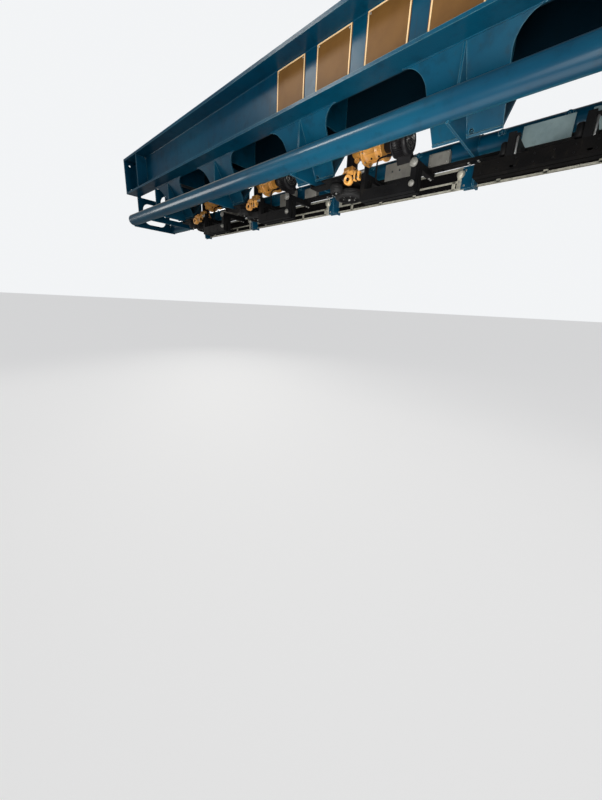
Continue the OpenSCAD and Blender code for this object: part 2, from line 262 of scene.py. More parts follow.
def railPaint(wire):
    size, stretch, cut, bands, share = [rail[key] for key in ("cloud", "stretch", "cut", "band", "share")]
    rough, bump = rail["rough"], rail["bump"]
    spot = place(wire)
    x, y, z = axes(spot)
    angle = spot.maths("ARCTAN2", z - rail["z"], abs(y) - rail["y"])  # 0 outwards, a quarter turn on top
    streak = cloud(place(wire, stretch["streak"]), *size["streak"])
    fine = cloud(place(wire, stretch["fine"]), *size["fine"])
    ragged = (streak - 0.5) * rail["ragged"]["rubbedAndSheen"]
    top = band(angle + ragged, *bands["top"])
    # lower side band: worn paint and a painted highlight
    foot = band(angle + ragged, *bands["foot"])
    # painted highlight line along the upper edge, growing along the track
    strip = band(angle + ragged * rail["ragged"]["strip"], *bands["strip"]) * step(x, *cut["strip"])
    scratch = step(fine, *cut["scratch"]) * (top + foot)
    colour = mix(step(cloud(spot, *size["fade"]), *paint["cut"]["fade"]), paint["blue"], paint["faded"])
    colour = mix(step(cloud(spot, *size["mottle"]), *cut["mottle"]) * share["mottle"], colour, paint["deep"])
    # painted highlight and wear on the lower side
    colour = mix(foot * share["foot"], colour, rail["rubbedAndSheen"])
    colour = mix(top * (share["top"][0] + streak * share["top"][1]), colour, rail["worn"])
    # painted highlight line
    colour = mix(strip * (share["strip"][0] + fine * share["strip"][1]), colour, rail["highlightCream"])
    colour = mix(scratch * share["scratch"], colour, rail["scratched"])
    dull = rough["plain"] + streak * rough["streak"] - top * rough["top"] - foot * rough["foot"]
    return {"Base Color": colour, "Roughness": dull, "Bump": (streak + fine * bump["fine"], bump["depth"])}


# enamel on housings, with a little oil that has run down
enamel = {"fade": (0.14, 4.0), "fadeCut": (0.35, 0.70), "grainDetail": (5.0, 0.65), "grainRough": 0.22,
          "oil": (0.05, 5.0, 0.7), "oilStretch": (1, 1, 0.4), "oilCut": (0.55, 0.75), "oilShare": 0.45,
          "oilColour": (0.020, 0.017, 0.012, 1), "oilSmooth": 0.10, "bump": 0.0006}


def smallPaint(light, dark, grain, rough):
    def looks(wire):
        spot = place(wire)
        broad = cloud(spot, *enamel["fade"])
        fine = cloud(spot, grain, *enamel["grainDetail"])
        oil = step(cloud(place(wire, enamel["oilStretch"]), *enamel["oil"]), *enamel["oilCut"])
        colour = mix(step(broad, *enamel["fadeCut"]), (*light, 1), (*dark, 1))
        colour = mix(oil * enamel["oilShare"], colour, enamel["oilColour"])
        dull = rough + fine * enamel["grainRough"] - oil * enamel["oilSmooth"]
        return {"Base Color": colour, "Roughness": dull, "Bump": (fine + broad, enamel["bump"])}
    return looks


# bare metal: fine lines, spangle and dull patches
metal = {"lines": (0.004, 3.0, 0.6), "lineRough": 0.16, "spangle": (0.028, 4.0, 0.6), "spangleCut": (0.38, 0.64),
         "dull": (0.22, 4.0), "dullCut": (0.40, 0.66), "dullShare": 0.35, "dullRough": 0.18,
         "dullColour": (0.22, 0.215, 0.20, 1), "bump": 0.00025}


def bareMetal(light, dark, stretch, rough):
    def looks(wire):
        spot = place(wire)
        lines = cloud(place(wire, stretch), *metal["lines"])
        dull = step(cloud(spot, *metal["dull"]), *metal["dullCut"])
        colour = mix(step(cloud(spot, *metal["spangle"]), *metal["spangleCut"]), (*light, 1), (*dark, 1))
        colour = mix(dull * metal["dullShare"], colour, metal["dullColour"])
        return {"Base Color": colour, "Roughness": rough + lines * metal["lineRough"] + dull * metal["dullRough"],
                "Bump": (lines, metal["bump"])}
    return looks


rubber = {"dark": (0.007, 0.007, 0.0075, 1), "scuffed": (0.026, 0.025, 0.024, 1), "grain": (0.004, 4.0, 0.7),
          "scuff": (0.035, 5.0, 0.7), "scuffCut": (0.50, 0.72), "scuffShare": 0.6,
          "rough": (0.62, 0.2), "bump": 0.0005}


def rubberLooks(wire):
    spot = place(wire)
    scuff = step(cloud(spot, *rubber["scuff"]), *rubber["scuffCut"])
    return {"Base Color": mix(scuff * rubber["scuffShare"], rubber["dark"], rubber["scuffed"]),
            "Roughness": rubber["rough"][0] + scuff * rubber["rough"][1],
            "Bump": (cloud(spot, *rubber["grain"]) + scuff, rubber["bump"])}


# blank plates: brown sheet with a pale line around it
plate = {"count": 4, "width": 0.300, "height": 0.300, "pitch": 0.412, "firstMiddle": 0.108, "top": -0.050,
         "border": 0.009, "inset": 0.004, "rivetIn": 0.022, "brown": (0.150, 0.072, 0.018, 1),
         "faded": (0.105, 0.048, 0.012, 1), "line": (0.80, 0.56, 0.30, 1),
         "fade": (0.12, 5.0, 0.6), "fadeCut": (0.35, 0.68), "fadeShare": 0.5, "speck": (0.006, 4.0, 0.6),
         "rough": (0.38, 0.20), "bump": 0.0002}


def plateLooks(wire):
    spot = place(wire)
    x, y, z = axes(spot)
    along = x - plate["firstMiddle"] + 8.5 * plate["pitch"]  # above 0, a plate in the middle of each pitch
    away = abs(along % plate["pitch"] - plate["pitch"] / 2)
    upDown = abs(z - plate["top"] + plate["height"] / 2)
    edgeX = plate["width"] / 2 - plate["inset"]
    edgeZ = plate["height"] / 2 - plate["inset"]
    line = spot.maths("MAXIMUM", away > edgeX - plate["border"], upDown > edgeZ - plate["border"])
    line = line * (away < edgeX) * (upDown < edgeZ)
    speck = cloud(spot, *plate["speck"])
    fade = step(cloud(spot, *plate["fade"]), *plate["fadeCut"])
    colour = mix(line, mix(fade * plate["fadeShare"], plate["brown"], plate["faded"]), plate["line"])
    plain, rougher = plate["rough"]
    return {"Base Color": colour, "Roughness": plain + speck * rougher, "Bump": (speck, plate["bump"])}


shine, coat, coatRough = "Specular IOR Level", "Coat Weight", "Coat Roughness"
finishes = {
    "track_blue": finish("trackBlue", trackPaint, {coat: 0.05, coatRough: 0.16, shine: 0.15}),
    "rails": finish("railBlue", railPaint, {coat: 0.22, coatRough: 0.08, shine: 0.18}),
    "pad_steel": finish("primerGrey", smallPaint((0.16, 0.17, 0.18), (0.10, 0.105, 0.11), 0.03, 0.48)),
    "plate_brown": finish("brownSheet", plateLooks, {shine: 0.20}),
    "frame_aluminium": finish("dullAluminium", bareMetal((0.50, 0.48, 0.40), (0.34, 0.33, 0.27), (0.2, 9, 9), 0.34),
                              {"Metallic": 0.45}),
    "unit_black": finish("blackCoat", smallPaint((0.0045, 0.0046, 0.005), (0.0026, 0.0026, 0.003), 0.006, 0.46),
                         {shine: 0.08}),
    "unit_grey": finish("greyPaint", smallPaint((0.150, 0.147, 0.132), (0.090, 0.088, 0.080), 0.02, 0.36)),
    # pale plates beside the brake: pale paint, and partly a painted highlight standing in for light on the far rail
    "unit_pale": finish("palePlatesAndHighlight", smallPaint((0.20, 0.27, 0.28), (0.12, 0.175, 0.19), 0.03, 0.32)),
    "bar_black": finish("darkIron", smallPaint((0.0022, 0.0022, 0.0024), (0.0045, 0.0040, 0.0038), 0.010, 0.55),
                        {shine: 0.05}),
    "motor_ochre": finish("ochreEnamel", smallPaint((0.60, 0.285, 0.060), (0.40, 0.175, 0.036), 0.02, 0.30),
                          {coat: 0.2}),
    "motor_black": finish("blackEnamel", smallPaint((0.009, 0.0085, 0.010), (0.005, 0.005, 0.0055), 0.02, 0.34),
                          {shine: 0.26}),
    "wheel_steel": finish("turnedSteel", bareMetal((0.42, 0.42, 0.41), (0.28, 0.28, 0.27), (1, 1, 8), 0.28),
                          {"Metallic": 0.95}),
    "tyre_rubber": finish("tyreRubber", rubberLooks, {shine: 0.25}),
}
for part in frame["record"]["subparts"]:
    slots = nodes[part["node"]].data.materials
    slots.clear()
    slots.append(finishes["rails" if part["node"].startswith("rail_") else part["material_slot"]])
print("finishes:", len(finishes))


# mesh building: a Piece gathers shapes, each with its material slot, and ends as one object
axisX, axisY, axisZ, down = (1, 0, 0), (0, 1, 0), (0, 0, 1), (0, 0, -1)


class Piece:
    def __init__(self, name):
        self.name, self.mesh, self.slots = name, bmesh.new(), []

    def paint(self, faces, slot, smooth):
        if slot not in self.slots:
            self.slots.append(slot)
        for face in faces:
            face.material_index = self.slots.index(slot)
            face.smooth = smooth

    def box(self, low, high, slot, edge=0.0015, turn=None, about=(0, 0, 0)):
        size = [b - a for a, b in zip(low, high)]
        middle = Vector([(a + b) / 2 for a, b in zip(low, high)])
        cube = Matrix.Translation(middle) @ Matrix.Diagonal((*size, 1))
        verts = bmesh.ops.create_cube(self.mesh, size=1.0, matrix=cube)["verts"]
        if edge:
            lines = list(dict.fromkeys(line for vert in verts for line in vert.link_edges))
            offset = min(edge, min(size) * 0.3)
            verts = bmesh.ops.bevel(self.mesh, geom=lines, offset=offset, segments=1, affect="EDGES")["verts"]
        if turn:
            matrix = Matrix.Translation(about) @ turn @ Matrix.Translation([-v for v in about])
            bmesh.ops.transform(self.mesh, matrix=matrix, verts=verts)
        self.paint({face for vert in verts for face in vert.link_faces}, slot, False)

    def rings(self, centres, radii, frames, slot, sides, closed=True):  # circles joined into a skin
        loops = []
        for centre, radius, (u, v) in zip(centres, radii, frames):
            loops.append([self.mesh.verts.new(centre + (u * math.cos(a) + v * math.sin(a)) * radius)
                          for a in (2 * math.pi * i / sides for i in range(sides))])
        self.paint([self.mesh.faces.new((a[i], a[(i + 1) % sides], b[(i + 1) % sides], b[i]))
                    for a, b in zip(loops, loops[1:]) for i in range(sides)], slot, True)
        if closed:
            ends = [self.mesh.faces.new(list(reversed(loops[0]))), self.mesh.faces.new(loops[-1])]
            self.paint(ends, slot, False)

    def lathe(self, at, axis, profile, slot, sides=32, closed=True):  # profile: (distance along the axis, radius)
        axis, at = Vector(axis).normalized(), Vector(at)
        u = axis.orthogonal().normalized()
        frames = [(u, axis.cross(u))] * len(profile)
        self.rings([at + axis * h for h, r in profile], [r for h, r in profile], frames, slot, sides, closed)

    def rod(self, start, end, radius, slot, sides=20, edge=0.001):
        start, end = Vector(start), Vector(end)
        long = (end - start).length
        edge = min(edge, radius * 0.4, long * 0.3)
        profile = [(0, radius - edge), (edge, radius), (long - edge, radius), (long, radius - edge)]
        self.lathe(start, end - start, profile, slot, sides)

    def pipe(self, points, radius, slot, sides=8, bend=0.03):  # corners are rounded
        points = [Vector(p) for p in points]
        path = [points[0]]
        for before, corner, after in zip(points, points[1:], points[2:]):
            reach = min(bend, (corner - before).length * 0.45, (after - corner).length * 0.45)
            a = corner + (before - corner).normalized() * reach
            b = corner + (after - corner).normalized() * reach
            path += [a.lerp(corner, t).lerp(corner.lerp(b, t), t) for t in (0, 0.25, 0.5, 0.75, 1)]
        path.append(points[-1])
        frames = []
        u = (path[1] - path[0]).orthogonal().normalized()
        for i in range(len(path)):
            along = (path[min(i + 1, len(path) - 1)] - path[max(i - 1, 0)]).normalized()
            u = (u - along * u.dot(along)).normalized()
            frames.append((u, along.cross(u)))
        self.rings(path, [radius] * len(path), frames, slot, sides)

    def bolt(self, at, axis, size, slot="wheel_steel", washer=True):  # size: the washer's radius
        axis, at = Vector(axis).normalized(), Vector(at)
        if washer:
            self.lathe(at, axis, [(0, size), (size * 0.14, size), (size * 0.18, size * 0.95)], slot, 16)
            at = at + axis * size * 0.18
        high = size * 0.65
        self.lathe(at, axis, [(0, size * 0.92), (high * 0.85, size * 0.92), (high, size * 0.76)], slot, 6)

    def loft(self, outline, offset, slot):  # a flat outline pushed along an offset
        near = [self.mesh.verts.new(Vector(p)) for p in outline]
        far = [self.mesh.verts.new(Vector(p) + Vector(offset)) for p in outline]
        n = len(near)
        faces = [self.mesh.faces.new((near[i], near[(i + 1) % n], far[(i + 1) % n], far[i])) for i in range(n)]
        faces += [self.mesh.faces.new(list(reversed(near))), self.mesh.faces.new(far)]
        self.paint(faces, slot, False)

    def bead(self, start, end, radius=0.005, slot="track_blue"):  # a weld with a slightly uneven crown
        start, end = Vector(start), Vector(end)
        count = max(2, round((end - start).length / 0.02))
        dice = random.Random(round(start.x * 977 + start.y * 131 + end.z * 37, 3))
        centres = [start.lerp(end, i / count) for i in range(count + 1)]
        u = (end - start).orthogonal().normalized()
        v = (end - start).normalized().cross(u)
        radii = [radius * dice.uniform(0.88, 1.1) for centre in centres]
        self.rings(centres, radii, [(u, v)] * len(centres), slot, 6)

    def done(self, body="root", instead=()):
        bmesh.ops.recalc_face_normals(self.mesh, faces=self.mesh.faces)
        data = bpy.data.meshes.new(self.name)
        self.mesh.to_mesh(data)
        self.mesh.free()
        for slot in self.slots:
            data.materials.append(finishes[slot])
        made = bpy.data.objects.new(self.name, data)
        bpy.context.collection.objects.link(made)
        if instead:
            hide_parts(*instead)
        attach(made, body)


def around(count, ring, turn=0.0):  # points on a circle
    angles = [turn + 2 * math.pi * i / count for i in range(count)]
    return [(ring * math.cos(a), ring * math.sin(a)) for a in angles]


# drive units: x is measured from a unit's middle
units = {"middles": (-0.600, 0.600, 1.645), "wheelX": 0.320, "top": -0.848,
         "bolt": 0.008, "boltY": (-0.210, -0.240)}

gear = {
    "y": -0.127, "axis": -0.639,
    # upright hub on its foot
    "hub": 0.046, "foot": 0.060, "footHigh": 0.012, "footBolts": 6, "gussets": 4,
    "gusset": ((0.044, 0.012), (0.058, 0.012), (0.044, 0.060)), "gussetT": 0.004,
    # round cap
    "cap": 0.047, "capZ": -0.797, "capFar": -0.177, "capNear": -0.037, "capScrews": 6, "capRing": 0.030,
    # long body: ribs as (distance along the axis, distance from it)
    "neck": 0.041, "flange": 0.100, "flangeX": (0.177, 0.189), "body": 0.0715, "rear": 0.094,
    "rearX": (0.015, 0.027), "screws": 8, "screwRing": 0.087, "ties": 4, "tieRing": 0.081,
    "ribs": 8, "ribT": 0.005, "rib": ((0.040, 0.070), (0.168, 0.070), (0.160, 0.082), (0.040, 0.078)),
    "plug": 0.008, "plugX": (0.055, 0.120),
    # breather ring
    "ring": (0.252, -0.104, -0.688), "ringR": 0.021, "tie": 0.005,
}


def gearUnit(index, middle):
    g, made = gear, Piece("gearUnit_%d" % index)
    x, y, axis, low, ochre = middle + units["wheelX"], g["y"], g["axis"], units["top"], "motor_ochre"
    hub, foot, footHigh = g["hub"], g["foot"], g["footHigh"]
    made.lathe((x, y, low), axisZ, [
        (0, foot), (footHigh - 0.002, foot), (footHigh, foot - 0.002), (footHigh, hub + 0.003), (0.020, hub),
        (0.100, hub), (0.104, hub + 0.004), (0.112, hub + 0.004), (0.116, hub), (0.236, hub),
        (0.242, hub - 0.004), (0.254, hub - 0.016)], "motor_black", 40)
    for a, b in around(g["footBolts"], foot - 0.009, 0.3):
        made.bolt((x + a, y + b, low + footHigh), axisZ, 0.006)
    for a, b in around(g["gussets"], 1.0, 0.8):
        made.loft([(x + a * r, y + b * r, low + h) for r, h in g["gusset"]],
                  (g["gussetT"] * b, -g["gussetT"] * a, 0), "motor_black")
    # round cap that looks towards +y, with its cover, screws and slotted middle
    cap, capZ, near = g["cap"], g["capZ"], g["capNear"]
    made.lathe((x, g["capFar"], capZ), axisY, [
        (0, cap - 0.004), (0.004, cap), (0.118, cap), (0.121, cap - 0.003), (0.121, 0.040), (0.132, 0.039),
        (0.135, 0.036), (0.135, 0.020), (0.124, 0.018), (0.124, 0.001)], ochre, 40)
    made.lathe((x, near - 0.016, capZ), axisY, [(0, 0.012), (0.010, 0.012), (0.012, 0.009)], "unit_black", 20)
    for a, b in around(g["capScrews"], g["capRing"], 0.5):
        made.bolt((x + a, near - 0.005, capZ + b), axisY, 0.004, washer=False)
    made.box((x - 0.045, y - 0.030, capZ + 0.020), (x + 0.045, y + 0.055, capZ + 0.075), ochre, 0.006)
    # neck, flanges and the long body towards the motor
    body, rear, flange, neck = g["body"], g["rear"], g["flange"], g["neck"]
    rear0, rear1 = [middle + v for v in g["rearX"]]
    flange0, flange1 = [middle + v for v in g["flangeX"]]
    f0, f1 = [v - g["rearX"][0] for v in g["flangeX"]]
    made.lathe((rear0, y, axis), axisX, [
        (0, rear - 0.001), (0.001, rear), (0.011, rear), (0.012, rear - 0.001), (0.012, body + 0.004),
        (0.018, body), (0.060, body), (0.062, body + 0.003), (0.070, body + 0.003), (0.072, body),
        (f0 - 0.006, body), (f0, body + 0.005), (f0, flange - 0.001), (f0 + 0.001, flange),
        (f1 - 0.001, flange), (f1, flange - 0.001), (f1, 0.062), (f1 + 0.020, 0.052), (f1 + 0.050, neck),
        (0.300, neck)], ochre, 48)
    for a, b in around(g["screws"], g["screwRing"], 0.39):
        made.bolt((flange0, y + a, axis + b), (-1, 0, 0), 0.007)
        made.rod((flange1, y + a, axis + b), (flange1 + 0.010, y + a, axis + b), 0.006, "wheel_steel", 6)
    for a, b in around(g["ribs"], 1.0, 0.2):
        made.loft([(middle + at, y + a * r, axis + b * r) for at, r in g["rib"]],
                  (0, g["ribT"] * b, -g["ribT"] * a), ochre)
    for a, b in around(g["ties"], g["tieRing"], 0.78):
        made.bolt((rear1, y + a, axis + b), axisX, 0.006)
    for at in g["plugX"]:
        made.bolt((middle + at, y + 0.030, axis - 0.064), (0, 0.4, -0.9), g["plug"], "unit_black")
    # breather ring at the neck, with its tie to the flange
    rx, ry, rz = middle + g["ring"][0], g["ring"][1], g["ring"][2]
    r = g["ringR"]
    made.lathe((rx, ry, rz), axisY, [
        (0, r), (0.016, r), (0.018, r - 0.002), (0.018, 0.012), (0.004, 0.011), (0.004, 0.001)], ochre, 24)
    made.rod((rx - 0.020, ry + 0.008, rz), (flange1, ry + 0.008, rz), g["tie"], "wheel_steel", 10)
    made.done(instead=("gearbox_%d" % index,))


motor = {
    "front": 0.015, "body": 0.086,
    "fins": 36, "fin": ((-0.069, 0.080), (-0.143, 0.080), (-0.143, 0.092), (-0.069, 0.092)), "finT": 0.002,
    "guardX": -0.171, "guardRings": (0.028, 0.048, 0.062), "guardWire": 0.0016,
    "spokes": 8, "spoke": (0.012, 0.069), "spokeR": 0.0015,
    "box": (0.112, 0.054, 0.058), "boxFrom": -0.168, "boxDrop": 0.082, "boxTilt": -35, "eye": 0.040,
    "joint": (-0.052, 0.052, -0.088), "gland": 0.010, "conduit": 0.006, "turnX": 0.052, "drop": -0.872,
    "tray": (-0.341, -0.925),
}


def motorUnit(index, middle):
    m, made, black = motor, Piece("motorUnit_%d" % index), "motor_black"
    y, z, thin = gear["y"], gear["axis"], m["body"] - 0.004
    made.lathe((middle + m["front"], y, z), (-1, 0, 0), [
        (0, 0.044), (0.050, 0.044), (0.062, 0.055), (0.070, 0.088), (0.072, 0.095), (0.082, 0.095), (0.083, 0.093),
        (0.084, thin), (0.158, thin), (0.158, 0.094), (0.160, 0.095), (0.180, 0.094), (0.187, 0.088),
        (0.190, 0.078), (0.190, 0.070), (0.184, 0.068), (0.184, 0.001)], black, 48)
    for a, b in around(m["fins"], 1.0):
        made.loft([(middle + at, y + a * r, z + b * r) for at, r in m["fin"]],
                  (0, -m["finT"] * b, m["finT"] * a), black)
    # fan guard
    guard = middle + m["guardX"]
    for ring in m["guardRings"]:
        loop = [Vector((guard, y + a, z + b)) for a, b in around(32, ring)]
        across = [(Vector(axisX), Vector((0, a, b))) for a, b in around(32, 1.0)]
        made.rings(loop + loop[:1], [m["guardWire"]] * 33, across + across[:1], "wheel_steel", 6, closed=False)
    for a, b in around(m["spokes"], 1.0):
        start, end = [(guard, y + a * r, z + b * r) for r in m["spoke"]]
        made.rod(start, end, m["spokeR"], "wheel_steel", 6, 0)
    # terminal box below, leaning towards -y, and the fixed conduit from the rim to the tray
    long, wide, high = m["box"]
    low = (middle + m["boxFrom"], y - wide / 2, z - m["boxDrop"] - wide)
    tilt = Matrix.Rotation(math.radians(m["boxTilt"]), 4, "X")
    made.box(low, (low[0] + long, low[1] + wide, low[2] + high), black, 0.004, tilt, (low[0], y, z))
    made.bolt((middle + m["eye"], y, z + gear["body"]), axisZ, 0.008, "wheel_steel")
    jx, jy, jz = middle + m["joint"][0], y + m["joint"][1], z + m["joint"][2]
    turnX, (trayY, trayZ) = middle + m["turnX"], m["tray"]
    made.rod((jx - 0.010, jy, jz), (jx + 0.022, jy, jz), m["gland"], "unit_black", 12)
    made.pipe([(jx + 0.020, jy, jz), (turnX, jy, jz), (turnX, jy, m["drop"]), (turnX, trayY + 0.030, m["drop"]),
               (turnX, trayY, trayZ)], m["conduit"], "unit_black", 10, 0.035)
    made.done(instead=("motor_%d" % index,))


# wheels and tyres: y, outer radius, rim radius, shaft radius, size of the disc's bolts
wheels = {
    "drive": (-0.127, 0.120, 0.088, 0.020, 0.005),
    "idler": (0.057, 0.050, 0.034, 0.015, 0.003),
    "z": -0.914, "half": 0.030, "axleTop": -0.853, "bolts": 6,
    "grooves": (0.018, 0.030, 0.042), "grooveDeep": 0.004, "grooveHalf": (0.0012, 0.0022),
}


def wheelPair(index, middle):
    w, x = wheels, middle + units["wheelX"]
    h, low = w["half"], w["z"] - w["half"]
    for name in ("drive", "idler"):
        body = "%s_%d" % (name, index)
        y, outer, rim, shaft, size = w[name]
        dish = rim * 0.30
        disc = Piece(name + "Wheel_%d" % index)
        disc.lathe((x, y, low), axisZ, [
            (0.004, 0.001), (0.004, shaft), (0.001, shaft + 0.001), (0.001, shaft + dish * 0.3),
            (0.008, shaft + dish * 0.45), (0.010, rim - 0.010), (0.001, rim - 0.008), (0.0, rim - 0.001),
            (0.001, rim),
            (2 * h - 0.001, rim), (2 * h, rim - 0.008), (2 * h - 0.009, rim - 0.011),
            (2 * h - 0.009, shaft + dish * 0.4), (2 * h, shaft + 0.004), (2 * h, shaft),
            (w["axleTop"] - w["z"] + h, shaft)], "unit_black", 48)
        for a, b in around(w["bolts"], (shaft + rim) / 2, 0.2):
            disc.bolt((x + a, y + b, low + 0.009), down, size, washer=False)
        disc.bolt((x, y, low + 0.004), down, shaft * 0.6)
        disc.done(body, (name + "_wheel_%d" % index,))
        tyre = Piece(name + "Tyre_%d" % index)
        shoulder = [(0.0, rim), (0.0, rim + 0.003), (0.0025, outer * 0.6 + rim * 0.4), (0.0045, outer - 0.008),
                    (0.010, outer - 0.002), (0.015, outer)]
        profile, deep = list(shoulder), outer - w["grooveDeep"]
        foot, lip = w["grooveHalf"]
        for at in w["grooves"]:
            profile += [(at - lip, outer), (at - foot, deep), (at + foot, deep), (at + lip, outer)]
        profile += [(2 * h - p, r) for p, r in reversed(shoulder)]
        tyre.lathe((x, y, low), axisZ, profile, "tyre_rubber", 72, closed=False)
        tyre.done(body, (name + "_tyre_%d" % index,))


# arms that carry the long bars; the brake's are measured along the track
arms = {"drive": (-0.312, 0.082), "brake": (-1.4705, -1.7995, -2.1285), "near": 0.049, "under": -0.888,
        "cap": 0.027, "capZ": -0.868, "lowCapZ": -0.988, "lowCap": 0.72, "cylinder": (0.034, 0.020, -0.885),
        "rod": 0.006, "rodAt": (0.026, 0.012), "rodZ": (-0.862, -1.030),
        "clampX": (0.038, 0.014), "clampY": 0.020, "clampZ": (-0.866, -1.014), "clampHalf": 0.007}


def armFittings():
    a, made = arms, Piece("armFittings")
    outer, inner = [[middle + at for middle in units["middles"]] for at in a["drive"]]
    near = a["near"]
    for x in outer + inner + list(a["brake"]):
        for y in units["boltY"]:
            made.bolt((x, y, a["under"]), down, units["bolt"])
        if x in outer:  # round caps of the pins
            for z, r in ((a["capZ"], a["cap"]), (a["lowCapZ"], a["cap"] * a["lowCap"])):
                made.lathe((x, near, z), axisY, [
                    (0, r), (0.010, r), (0.013, r - 0.003), (0.013, r * 0.62), (0.019, r * 0.58), (0.021, r * 0.45),
                    (0.021, 0.001)], "unit_grey", 28)
        if x in a["brake"]:  # cylinder and rod
            cx, cy, cz = a["cylinder"]
            made.lathe((x + cx, near - cy, cz), down, [
                (0, 0.014), (0.004, 0.018), (0.060, 0.018), (0.063, 0.014)], "unit_black", 20)
            start, end = [(x - a["rodAt"][0], near - a["rodAt"][1], z) for z in a["rodZ"]]
            made.rod(start, end, a["rod"], "wheel_steel", 12)
            x0, x1 = [x - reach for reach in a["clampX"]]
            for z in a["clampZ"]:
                made.box((x0, a["clampY"], z - a["clampHalf"]), (x1, near, z + a["clampHalf"]), "unit_black", 0.002)
    made.done()


bars = {"drive": (-0.330, 0.100), "brake": (-2.1475, -1.2975), "pitch": 0.085, "clear": 0.034,
        "rows": (-0.978, -1.014), "screw": 0.0055}


def barDetails():
    b, made = bars, Piece("barDetails")
    taken = [middle + at for middle in units["middles"] for at in arms["drive"]] + list(arms["brake"])
    spans = [(middle + b["drive"][0], middle + b["drive"][1]) for middle in units["middles"]]
    for low, high in spans + [b["brake"]]:
        count = max(4, round((high - low) / b["pitch"]))
        for i in range(count):
            x = low + (high - low) * (i + 0.5) / count
            if min(abs(x - at) for at in taken) > b["clear"]:
                for z in b["rows"]:
                    made.bolt((x, arms["near"], z), axisY, b["screw"], "unit_black", False)
    made.done()


# housing at the base plate's near corner, on a lug under the plate
pivot = {"lug": ((0.192, 0.070, -0.876), (0.248, 0.106, -0.8585)),
         "core": ((0.084, 0.076, -0.897), (0.196, 0.100, -0.857)),
         "top": ((0.140, 0.072, -0.862), (0.192, 0.108, -0.832)),
         "bars": (0.092, 0.126), "barHalf": 0.008, "barY": (0.073, 0.107), "barZ": (-0.903, -0.846),
         "cap": (0.176, 0.082, -0.890), "r": 0.034, "screwX": (0.214, 0.234)}


def pivotHousing(made, middle):
    p, ochre = pivot, "motor_ochre"
    for name, slot in (("lug", "unit_black"), ("core", "unit_black"), ("top", ochre)):
        (x0, y0, z0), (x1, y1, z1) = p[name]
        made.box((middle + x0, y0, z0), (middle + x1, y1, z1), slot, 0.003)
    (y0, y1), (z0, z1) = p["barY"], p["barZ"]
    for x in p["bars"]:
        made.box((middle + x - p["barHalf"], y0, z0), (middle + x + p["barHalf"], y1, z1), ochre, 0.003)
        made.bolt((middle + x, y1, z0 + 0.014), axisY, 0.005)
    x, y, z, r = middle + p["cap"][0], p["cap"][1], p["cap"][2], p["r"]
    made.lathe((x, y, z), axisY, [
        (0, r - 0.003), (0.003, r), (0.036, r), (0.040, r - 0.004), (0.040, 0.021), (0.030, 0.019), (0.030, 0.001)],
        ochre, 32)
    made.lathe((x, y + 0.029, z), axisY, [
        (0, 0.012), (0.006, 0.012), (0.008, 0.009), (0.008, 0.001)], "unit_black", 20)
    for x in p["screwX"]:
        made.bolt((middle + x, 0.088, p["lug"][0][2]), down, 0.006)


# press block that pushes the idler against the fin, on top of the base plate, with its rollers and spring
press = {"block": ((0.234, -0.022, -0.848), (0.286, 0.028, -0.786)), "boss": (0.262, 0.028, -0.822), "r": 0.023,
         "rollers": ((0.205, 0.012), (0.182, 0.004)), "roller": 0.010, "high": 0.050,
         "spring": 0.013, "springX": 0.150, "springLong": 0.058, "turns": 7, "wire": 0.0022,
         "pin": (0.086, 0.234), "pinY": 0.010, "stop": ((0.078, -0.014, -0.848), (0.090, 0.034, -0.800))}


def pressBlock(index, middle):
    p, ochre, made = press, "motor_ochre", Piece("pressBlock_%d" % index)
    (x0, y0, z0), (x1, y1, z1) = p["block"]
    made.box((middle + x0, y0, z0), (middle + x1, y1, z1), ochre, 0.005)
    x, y, z, r = middle + p["boss"][0], p["boss"][1], p["boss"][2], p["r"]
    made.lathe((x, y, z), axisY, [
        (0, r), (0.012, r), (0.015, r - 0.003), (0.015, 0.013), (0.006, 0.012), (0.006, 0.001)], ochre, 28)
    made.rod((x, y + 0.004, z), (x, y + 0.011, z), 0.009, "unit_black", 6)
    thin, high = p["roller"], p["high"]
    for x, y in p["rollers"]:
        made.lathe((middle + x, y, z0), axisZ, [
            (0, 0.013), (0.005, 0.013), (0.006, thin), (high, thin), (high + 0.003, thin - 0.003)], ochre, 20)
        made.bolt((middle + x, y, z0 + high + 0.002), axisZ, 0.005)
    coil, steps = [], p["turns"] * 10
    for k in range(steps + 1):
        a = k * 0.62832  # a tenth of a turn
        coil.append((middle + p["springX"] - p["springLong"] * k / steps,
                     p["pinY"] + p["spring"] * math.cos(a), z + p["spring"] * math.sin(a)))
    made.pipe(coil, p["wire"], "wheel_steel", 6, 0.001)
    start, end = [(middle + at, p["pinY"], z) for at in p["pin"]]
    made.rod(start, end, 0.006, "wheel_steel", 14)
    (x0, y0, z0), (x1, y1, z1) = p["stop"]
    made.box((middle + x0, y0, z0), (middle + x1, y1, z1), "unit_black", 0.002)
    pivotHousing(made, middle)
    made.done()


for i, at in enumerate(units["middles"]):
    gearUnit(i + 1, at)
    pressBlock(i + 1, at)
    motorUnit(i + 1, at)
    wheelPair(i + 1, at)
armFittings()
barDetails()
print("units: done")


# welds, bolts and fittings of the steelwork
steel = {"end": 3.200, "plate": 0.020, "top": -0.025, "under": -0.438, "web": 0.225, "topT": 0.025, "lowT": 0.020,
         "rails": 0.300, "railZ": -0.747, "railR": 0.070, "vee": -0.776, "cross": 0.007, "bead": 0.0045,
         "lean": (0.212, 0.012), "seam": 0.345, "seamY": 0.227,
         "hangers": (-2.245, -1.200, 0.0, 1.200, 2.245)}


def girderWelds():
    s, made = steel, Piece("girderWelds")
    end, top, low = s["end"] - s["plate"], s["top"] - s["topT"], s["under"] + s["lowT"]
    for side in (-1, 1):
        y = side * (s["web"] + 0.001)
        made.bead((-end, y, top - 0.001), (end, y, top - 0.001))
        made.bead((-end, y, low + 0.001), (end, y, low + 0.001))
        for x in (-end, end):
            made.bead((x, y, low), (x, y, top))
    made.done()


